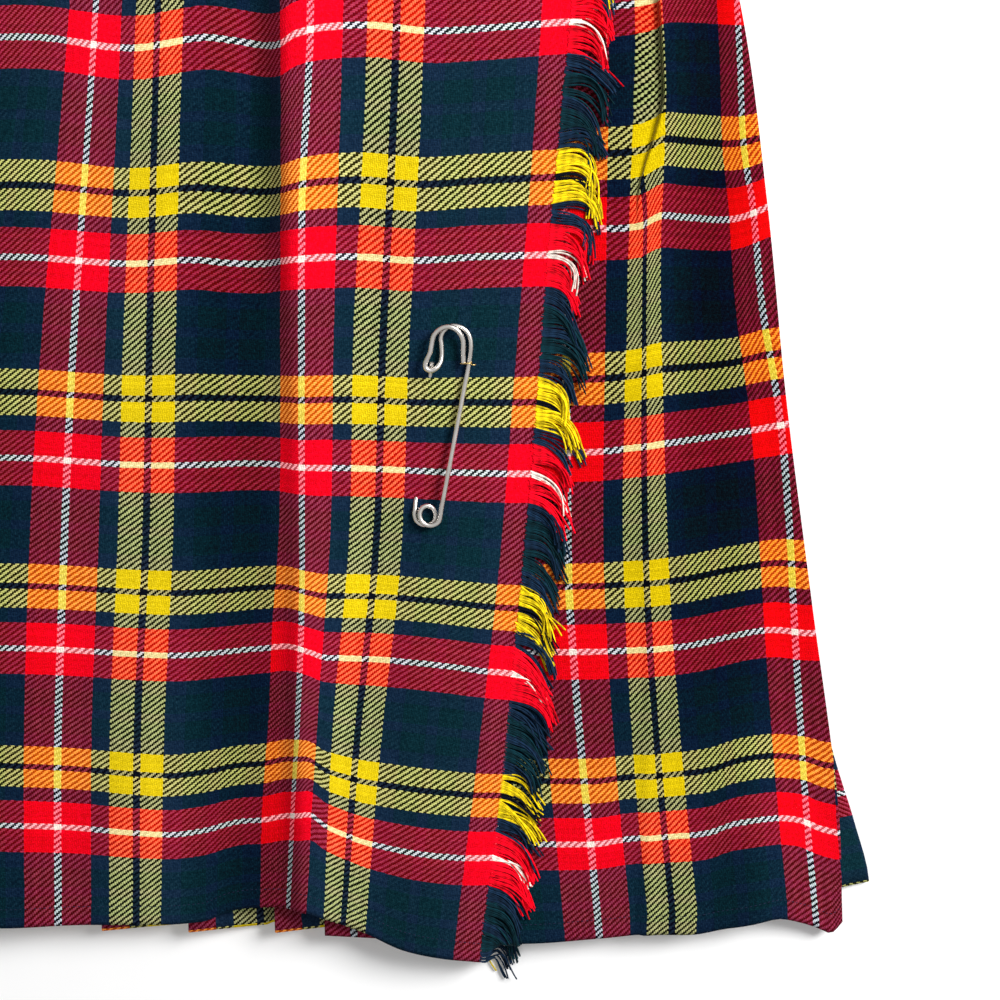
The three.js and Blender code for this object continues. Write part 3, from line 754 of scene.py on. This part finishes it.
def stitchRow():  # small rounded stitches spaced along a line
    tree, given, result = geometryTree("stitch row", {
        "Spacing": ("Float", 0.003), "Length": ("Float", 0.002), "Thickness": ("Float", 0.0006),
        "Finish": ("Material", None)})
    curve = tree.add("GeometryNodeMeshToCurve", {0: given["Path"]})
    points = tree.add("GeometryNodeCurveToPoints", {0: curve, "Length": given["Spacing"]}, mode="LENGTH")
    turn = tree.add("FunctionNodeAlignRotationToVector", {"Vector": points.other("Tangent")}, axis="X")
    ball = tree.add("GeometryNodeMeshUVSphere", {"Segments": 8, "Rings": 5, "Radius": 0.5})
    size = tree.three(given["Length"], given["Thickness"], given["Thickness"])
    placed = tree.add("GeometryNodeInstanceOnPoints", {
        0: points, "Instance": ball, "Rotation": turn, "Scale": size})
    return finished(tree, placed, given, result)


def grown(name, lines, group, values, node=None, thick=None, threads=None):  # runs a tree on lines
    ends = np.cumsum([len(line) for line in lines])
    first = np.setdiff1d(np.arange(ends[-1]), ends - 1)
    mesh = bpy.data.meshes.new(name)
    mesh.from_pydata((np.concatenate(lines) * mm).tolist(), np.stack((first, first + 1), -1).tolist(), [])
    if thick is not None:
        giveValues(mesh, "thick", "FLOAT", "value", np.concatenate(thick))
    if threads is not None:
        giveValues(mesh, "threads", "FLOAT_VECTOR", "vector", np.concatenate(threads))
    source = linked(name + ".line", mesh)
    modifier = source.modifiers.new("grow", "NODES")
    modifier.node_group = group
    for item in group.interface.items_tree:
        if item.in_out == "INPUT" and item.name in values:
            modifier[item.identifier] = values[item.name]
    plain = settled(source).data
    plain.name = name
    bpy.data.objects.remove(source)
    return newPiece(name, plain, node)


wireTree, stitchTree = sweptWire(), stitchRow()


fringe = {
    "yarns": 1100, "points": 15, "sides": 5, "radius": 0.42, "lockYarns": 11, "seed": 12, "inside": 1.2,
    "topInset": 1.5, "foot": -321,
    "length": [(280, 26), (120, 26), (40, 27), (-60, 27.5), (-160, 27), (-230, 27.5), (-290, 27), (-321, 26)],
    "start": [(280, -2), (60, 0), (0, 6), (-100, 16), (-321, 22)],          # degrees below level
    "fall": [(280, 78), (120, 78), (40, 80), (-60, 74), (-160, 68), (-230, 66), (-290, 70), (-321, 76)],
    "stray": [(106, -320, 2), (108.5, -327, 0.9), (110, -331.5, 0.7), (113, -336.5, 0.6)],
}


def makeFringe():
    random = np.random.default_rng(fringe["seed"])
    count, steps = fringe["yarns"], fringe["points"]
    root = np.linspace(top - fringe["topInset"], fringe["foot"], count)
    lock = np.cumsum(random.random(count) < 1 / fringe["lockYarns"])
    # random shares for each lock and for single yarns
    each = lambda spread: random.normal(0, spread, lock[-1] + 1)[lock][:, None]
    single = lambda spread: random.normal(0, spread, count)[:, None]
    members = [root[lock == k] for k in range(lock[-1] + 1)]
    centre = np.array([group.mean() for group in members])[lock][:, None]
    half = np.array([max(0.8, np.ptp(group) / 2) for group in members])[lock][:, None]
    root = root[:, None]
    within = (root - centre) / half                       # -1 to 1 across a lock
    s = np.linspace(0, 1, steps)[None]
    between = (s[:, 1:] + s[:, :-1]) / 2

    length = along(fringe["length"], root) * (1 + each(0.06) + single(0.06))
    start = -along(fringe["start"], root) + each(7) + single(3.5)
    finish = -along(fringe["fall"], root) + each(8) + single(4)
    turn = 0.06 + each(0.07)
    angle = np.radians(start + (finish - start) * ease(turn, turn + 0.85, between))
    reach, drop = (np.pad(np.cumsum(part, 1), ((0, 0), (1, 0))) * length / (steps - 1)
                   for part in (np.cos(angle), np.sin(angle)))
    pinch = np.clip(0.34 + each(0.18), 0.05, 0.75) * ease(0.2, 1, s)
    wave = each(0.55) * np.sin(s * 5.5 + each(2)) * s + single(0.28) * np.sin(s * 8 + single(3)) * s
    x = edgeAt(root) - fringe["inside"] + single(0.35) + reach + wave * 0.5
    y = root + drop + (centre - root) * pinch + wave

    hem = along(underHem, x)
    under = [underHeight(x + near, y) + creased(underCreases, x + near, y) for near in (-5, 0, 5)]
    floor = 0.2 + (np.max(under, axis=0) + 0.2) * ease(hem - 8, hem + 2, y)
    crown = (0.3 + np.abs(each(1.0))) * (1 - within ** 2) * ease(0.1, 0.6, s)
    rest = floor + fringe["radius"] + crown + np.abs(each(0.5)) + np.abs(single(0.35)) * ease(0.05, 0.3, s)
    cloth = overHeight(edgeAt(root) - fringe["inside"], root) + 0.35
    z = np.maximum(cloth + (rest - cloth) * ease(0.05, 0.5, s), floor + fringe["radius"] * 0.9)
    weft = weftThread(np.interp(-root[:, 0], -overPoints[:, -1, 1], overDown[:, -1]))
    lines = list(np.stack((x, y, z), -1))
    thick = [(1 - 0.7 * s[0] ** 5) * (0.6 + 0.4 * ease(0, 0.08, s[0]))] * count
    parts = np.broadcast_arrays(np.arange(count)[:, None], weft[:, None], s * length / 100)
    threads = list(np.stack(parts, -1))
    stray = smoothLine(np.array(fringe["stray"]), 5)     # one yellow yarn on its own at the foot
    lines.append(stray)
    thick.append(np.full(len(stray), 0.7))
    threads.append(np.tile((count, 5.5, 0.1), (len(stray), 1)))
    sizes = {"Radius": fringe["radius"] * mm, "Sides": fringe["sides"], "Finish": yarnFinish}
    return grown("fringeYarns", lines, wireTree, sizes, "fringe", thick, threads)


fringeYarns = makeFringe()
print("fringe made", len(fringeYarns.data.polygons))


kiltPin = {
    "radius": 1.15, "gap": 0.3, "coil": (80.3, -84.2), "cap": (92.2, -3.2), "entry": (74.6, -79),
    "exit": (82.3, -16.1), "point": 9, "binding": 0.32,
    "coilTurns": [(180, 6.1), (210, 6.2), (240, 6), (270, 5.6), (300, 5.1), (330, 4.4), (360, 3.8),
        (400, 3.8), (440, 4.1), (475, 4), (510, 3.6), (545, 3.5), (585, 3.9), (620, 4.7), (650, 5.5),
        (675, 6.1), (692, 6.4)],                       # angle, radius
    "capOuter": [(0, 9.2), (30, 9.4), (55, 9.2), (80, 8.7), (100, 8), (125, 6.7), (150, 5.5), (180, 4.5)],
    "clasp": [(-4.4, -5.6, 0.7), (-5.2, -8.8, 1.8), (-7.2, -11.1, 2.9), (-9.6, -11.9, 3.3), (-11.5, -11, 3.4),
              (-12, -9, 3.4), (-11, -6.4, 3.3), (-9.6, -3.2, 3.1)],
    "capInner": [(180, 9), (150, 9), (120, 8.9), (95, 8.5), (70, 7.5), (45, 6.5), (20, 5.9), (0, 5.7)],
}


def nickelPlate():
    material, tree = newFinish("nickel plate", Metallic=1.0)
    haze, scratches = tree.noise(tree.place(), 160), tree.noise(tree.place(), 1400, 2)
    tree.finish(Base_Color=tree.blend(haze, (226, 220, 212), (252, 248, 243)),
                Roughness=haze * 0.12 + 0.24, Normal=tree.bump(0.12, 0.0002, scratches))
    return material


def brassWire():
    material, tree = newFinish("brass wire", Metallic=1.0)
    haze = tree.noise(tree.place(), 900)
    tree.finish(Base_Color=tree.blend(haze, (150, 116, 60), (232, 206, 140)), Roughness=haze * 0.2 + 0.22)
    return material


def pinLine():
    radius, gap = kiltPin["radius"], kiltPin["gap"]
    onCloth, pitch = kilt["layer"] / 2 + gap + radius, 2 * radius + gap
    entry, leave, coil, cap = (np.array(kiltPin[name]) for name in ("entry", "exit", "coil", "cap"))
    middle = (entry + leave) / 2
    arm = [(leave[0] + 1, leave[1] + 4.6, onCloth), (leave[0] + 0.5, leave[1] + 1.6, onCloth - 0.5),
           (leave[0], leave[1] - 2, -onCloth * 0.3),
           (leave[0] - 1, leave[1] - 9, -onCloth), (middle[0], middle[1], -onCloth),
           (entry[0] + 1.2, entry[1] + 9, -onCloth), (entry[0] + 0.3, entry[1] + 2, -onCloth * 0.3),
           (entry[0] - 0.2, entry[1] - 3.4, onCloth - 0.1)]
    height = lambda x, y: float(overHeight(np.array(float(x)), np.array(float(y))))
    points = [(x, y, height(x, y) + above) for x, y, above in arm]

    def turned(centre, angle, radius, z):
        a = math.radians(angle)
        points.append((centre[0] + math.cos(a) * radius, centre[1] + math.sin(a) * radius, z))

    low = height(*coil) + onCloth
    for angle, away in kiltPin["coilTurns"]:
        turned(coil, angle, away, low + pitch * float(ease(330, 600, angle)))
    high = height(cap[0] + 8, cap[1] - 9) + onCloth
    foot, head = np.array(points[-1]), np.array((cap[0] + 8.3, cap[1] - 9, high))
    for s in (0.1, 0.3, 0.6, 0.85, 1):
        point = foot + (head - foot) * s
        lift = (high - foot[2]) * float(ease(0, 1, s)) + 0.9 * math.sin(math.pi * s)
        points.append((point[0], point[1], foot[2] + lift))
    for angle, away in kiltPin["capOuter"]:
        turned(cap, angle, away, high + 0.2)
    points += [(cap[0] + x, cap[1] + y, high + above) for x, y, above in kiltPin["clasp"]]
    for angle, away in kiltPin["capInner"]:
        turned(cap, angle, away, high + pitch + 0.5 - 1.2 * float(ease(90, 0, angle)))
    points += [(cap[0] + 5.6, cap[1] - 4.5, high + 1.5), (cap[0] + 5.7, cap[1] - 8.6, high + 1.3)]
    return smoothLine(np.array(points), 8), high


def makePin():
    line, high = pinLine()
    thick = 0.12 + 0.88 * np.clip(runAlong(line) / kiltPin["point"], 0, 1) ** 0.6
    sizes = {"Radius": kiltPin["radius"] * mm, "Sides": 20, "Finish": nickelPlate()}
    pin = grown("kiltPin", [line], wireTree, sizes, "kilt_pin", [thick])
    cap, ring = kiltPin["cap"], []
    for a in np.linspace(-40, 380, 30):                # a fine brass wire binds the end to the shaft
        turn = math.radians(a)
        ring.append((cap[0] + 7 + 2.7 * math.cos(turn), cap[1] - 8.6 - a / 500,
                     high + 0.6 + 2.0 * math.sin(turn)))
    ring += [(cap[0] + 10.6, cap[1] - 9.6, high + 1.3), (cap[0] + 11.4, cap[1] - 9.5, high + 0.6)]
    sizes = {"Radius": kiltPin["binding"] * mm, "Sides": 10, "Finish": brassWire()}
    ring = smoothLine(np.array(ring), 3)
    grown("pinBinding", [ring], wireTree, sizes, None, [np.ones(len(ring))])
    return pin


pinPiece = makePin()
print("pin made", len(pinPiece.data.polygons))


def makeWaistband():
    half, t = frontSides[0][1], kilt["bandThickness"]
    levels = [t / 2, t / 2 + t + 0.6, t / 2 + 2 * (t + 0.6)]
    line = [(float(edgeAt(top)), levels[2])]

    def bend(x, side, fromZ, toZ):
        for angle in np.linspace(0, math.pi, 17):
            line.append((x + side * math.sin(angle) * abs(toZ - fromZ) / 2,
                         (fromZ + toZ) / 2 + (fromZ - toZ) / 2 * math.cos(angle)))

    bend(-half, -1, levels[2], levels[0])
    bend(half, 1, levels[0], levels[1])
    line.append((kilt["underLeft"] + 6, levels[1]))
    line = np.array(line)
    run = runAlong(line)
    at = np.union1d(np.linspace(0, run[-1], 260), run)
    centre = np.stack([np.interp(at, run, values) for values in line.T], -1)
    heading = np.gradient(centre, at, axis=0)
    heading /= np.linalg.norm(heading, axis=1)[:, None]
    out = np.stack((-heading[:, 1], heading[:, 0]), -1)
    lift, width = t / 2 - 0.1, kilt["bandHeight"] - 0.3
    face = [(1, 0.6), (1, 6), (1, 15), (1, 24), (0.8, width - 0.9), (0.45, width - 0.15)]
    ring = [(-u, v) for u, v in face] + [(0, width)] + face[::-1] + [(0.7, 0), (0, 0), (-0.7, 0)]
    start = kilt["bandStart"]
    closing = np.clip(np.minimum(at, at[-1] - at) / 0.9, 0, 1) ** 0.5
    points, threads = [], []
    for u, v in ring + ring[:1]:                  # thickness and height round the band's own section
        offset = -u * lift * (0.25 + 0.75 * closing)
        points.append(np.stack((centre[:, 0] + out[:, 0] * offset, np.full(len(at), top + 0.3 + v),
                                centre[:, 1] + out[:, 1] * offset), -1))
        threads.append(clothThreads(start[0] - at, np.full(len(at), v * (1 if u > 0 else -1) + start[1])))
    mesh = gridMesh("waistBand", np.array(points[::-1]), np.array(threads[::-1]))
    return closeEnds(newPiece("waistBand", mesh, "waistband", woolFinish))


def closeEnds(piece):  # joins the seam, fills the two ends and points the faces outwards
    work = bmesh.new()
    work.from_mesh(piece.data)
    bmesh.ops.remove_doubles(work, verts=work.verts, dist=1e-6)
    bmesh.ops.holes_fill(work, edges=[e for e in work.edges if e.is_boundary], sides=0)
    bmesh.ops.recalc_face_normals(work, faces=work.faces)
    work.to_mesh(piece.data)
    work.free()
    piece.data.shade_smooth()
    return piece


waistband = makeWaistband()
print("waistband made", len(waistband.data.polygons))


button = {
    "x": 143, "y": 295, "base": 10.5, "holes": 2.1, "holeRadius": 0.95, "sides": 48,
    "profile": [(3.9, 1.6), (5.2, 1.75), (6.3, 2.1), (7.2, 2.48), (8.1, 2.6), (8.9, 2.5), (9.35, 2.15),
                (9.5, 1.6), (9.45, 1.0), (9.1, 0.55), (8.2, 0.25), (6.5, 0.08)],     # radius, height
}


def hornFinish():
    material, tree = newFinish("dark blue horn button", Specular_IOR_Level=0.5, Coat_Weight=0.2)
    cloud = tree.noise(tree.place(), 190, 4, Distortion=1.2)
    tree.finish(Base_Color=tree.blend(cloud, (16, 20, 34), (44, 52, 74)), Roughness=cloud * 0.2 + 0.24)
    return material


def threadFinish(name, colour):
    material, tree = newFinish(name, Roughness=0.7, Specular_IOR_Level=0.2)
    twist = tree.noise(tree.place(), 2600, 2)
    tree.finish(Base_Color=tree.blend(twist, [c * 0.6 for c in colour], colour))
    return material


def aroundButton(radius, share):
    angle = 2 * math.pi * share
    return button["x"] + radius * math.cos(angle), button["y"] + radius * math.sin(angle)


buttonHoles = [aroundButton(button["holes"], (k + 0.5) / 4) for k in range(4)]


def makeButton():
    b, work, sides = button, bmesh.new(), button["sides"]
    rings = [[work.verts.new((*aroundButton(r, a / sides), b["base"] + z)) for a in range(sides)]
             for r, z in b["profile"]]
    for upper, lower in zip(rings, rings[1:]):
        for i in range(sides):
            work.faces.new((upper[i], lower[i], lower[(i + 1) % sides], upper[(i + 1) % sides]))
    work.faces.new(rings[0])
    work.faces.new(rings[-1][::-1])
    work.transform(Matrix.Scale(mm, 4))
    bmesh.ops.recalc_face_normals(work, faces=work.faces)
    mesh = bpy.data.meshes.new("waistButton")
    work.to_mesh(mesh)
    work.free()
    piece = newPiece("waistButton", mesh, "waist_button", hornFinish())
    for x, y in buttonHoles:
        bpy.ops.mesh.primitive_cylinder_add(vertices=20, radius=b["holeRadius"] * mm, depth=0.01,
                                            location=(x * mm, y * mm, (b["base"] + 1) * mm))
        drill = bpy.context.object
        cut = piece.modifiers.new("hole", "BOOLEAN")
        cut.object, cut.solver = drill, "EXACT"
        settled(piece)
        bpy.data.objects.remove(drill)
    for face in piece.data.polygons:
        face.use_smooth = abs(face.normal.z) < 0.999 and len(face.vertices) == 4
    return piece


waistButton = makeButton()


def makeSewing():
    navy = threadFinish("navy sewing thread", (30, 38, 72))
    b, over = button, kilt["bandThickness"] * 3 + 1.2          # the band's upper face

    def stitches(name, rows, spacing, length, thickness):
        grown(name, rows, stitchTree, {"Spacing": spacing * mm, "Length": length * mm,
                                       "Thickness": thickness * mm, "Finish": navy})

    x = np.linspace(-162, float(edgeAt(top)) - 3, 120)
    rows = [np.stack(np.broadcast_arrays(x, top + up, over + 0.05), -1) for up in (2.4, 27.4)]
    stitches("bandStitches", rows, 3.2, 2.3, 0.5)            # spacing, length, thickness
    turn = np.linspace(0, 2 * np.pi, 90)
    slot = (b["x"] - 1 + 12.3 * np.cos(turn), b["y"] + 1.6 * np.sin(turn), np.full(90, over + 0.1))
    stitches("buttonholeStitches", [np.stack(slot, -1)], 0.6, 0.6, 0.9)
    hems = []
    for points, first in ((overPoints, 8), (underPoints, 30)):
        rowAt = round((len(points) - 1) * (1 - kilt["hemTurn"] / (top + 310)))
        hems.append(points[rowAt, first:-1] + (0, 0, kilt["shell"] / 2 + 0.03))
    stitches("hemStitches", hems, 2.4, 1.5, 0.34)
    lines, s = [], np.linspace(0, 1, 9)
    for start, end in (buttonHoles[:2], buttonHoles[2:]):
        for shift in (-0.22, 0.0, 0.22):
            x, y = (near + (far - near) * s for near, far in zip(start, end))
            lines.append(np.stack((x, y + shift, b["base"] + 0.9 + 1.05 * np.sin(np.pi * s) ** 0.4), -1))
    sizes = {"Radius": 0.25 * mm, "Sides": 8, "Finish": navy}
    grown("buttonThread", lines, wireTree, sizes, None, [np.ones(9)] * 6)


makeSewing()
print("button and sewing made")


studio = {"floor": (250, 250, 250), "pale": (253, 253, 253), "key": 81, "keyPlace": (1.55, 1.15, 1.4),
          "keySize": 0.9, "sky": 0.48, "horizon": 0.32}


def makeStudio():
    material, tree = newFinish("pale floor", Roughness=0.9, Specular_IOR_Level=0.1)
    tree.finish(Base_Color=tree.blend(tree.noise(tree.place(), 30), studio["floor"], studio["pale"]))
    mesh = bpy.data.meshes.new("floor")
    corners = [(x, y, -0.0006) for x, y in ((-3, -3), (3, -3), (3, 3), (-3, 3))]
    mesh.from_pydata(corners, [], [(0, 1, 2, 3)])
    mesh.materials.append(material)
    linked("floor", mesh)
    lamp = bpy.data.lights.new("key", "AREA")
    lamp.shape, lamp.size, lamp.energy = "SQUARE", studio["keySize"], studio["key"]
    key = linked("key", lamp)
    key.location = studio["keyPlace"]
    key.rotation_euler = (-Vector(studio["keyPlace"])).to_track_quat("-Z", "Y").to_euler()
    world = bpy.data.worlds.new("studio")         # bright overhead, darker towards the horizon
    world.use_nodes = True
    tree = Tree(world.node_tree)
    heading = tree.add("ShaderNodeTexCoord", out="Generated")
    up = tree.add("ShaderNodeSeparateXYZ", {0: heading}, out=2).higher(0)
    sky, horizon = ((studio[name],) * 3 + (1,) for name in ("sky", "horizon"))
    tree.join(tree.mixed(up, horizon, sky), world.node_tree.nodes["Background"].inputs[0])
    scene.world = world
    scene.view_settings.view_transform = "Standard"


makeStudio()
print("floor and light made")
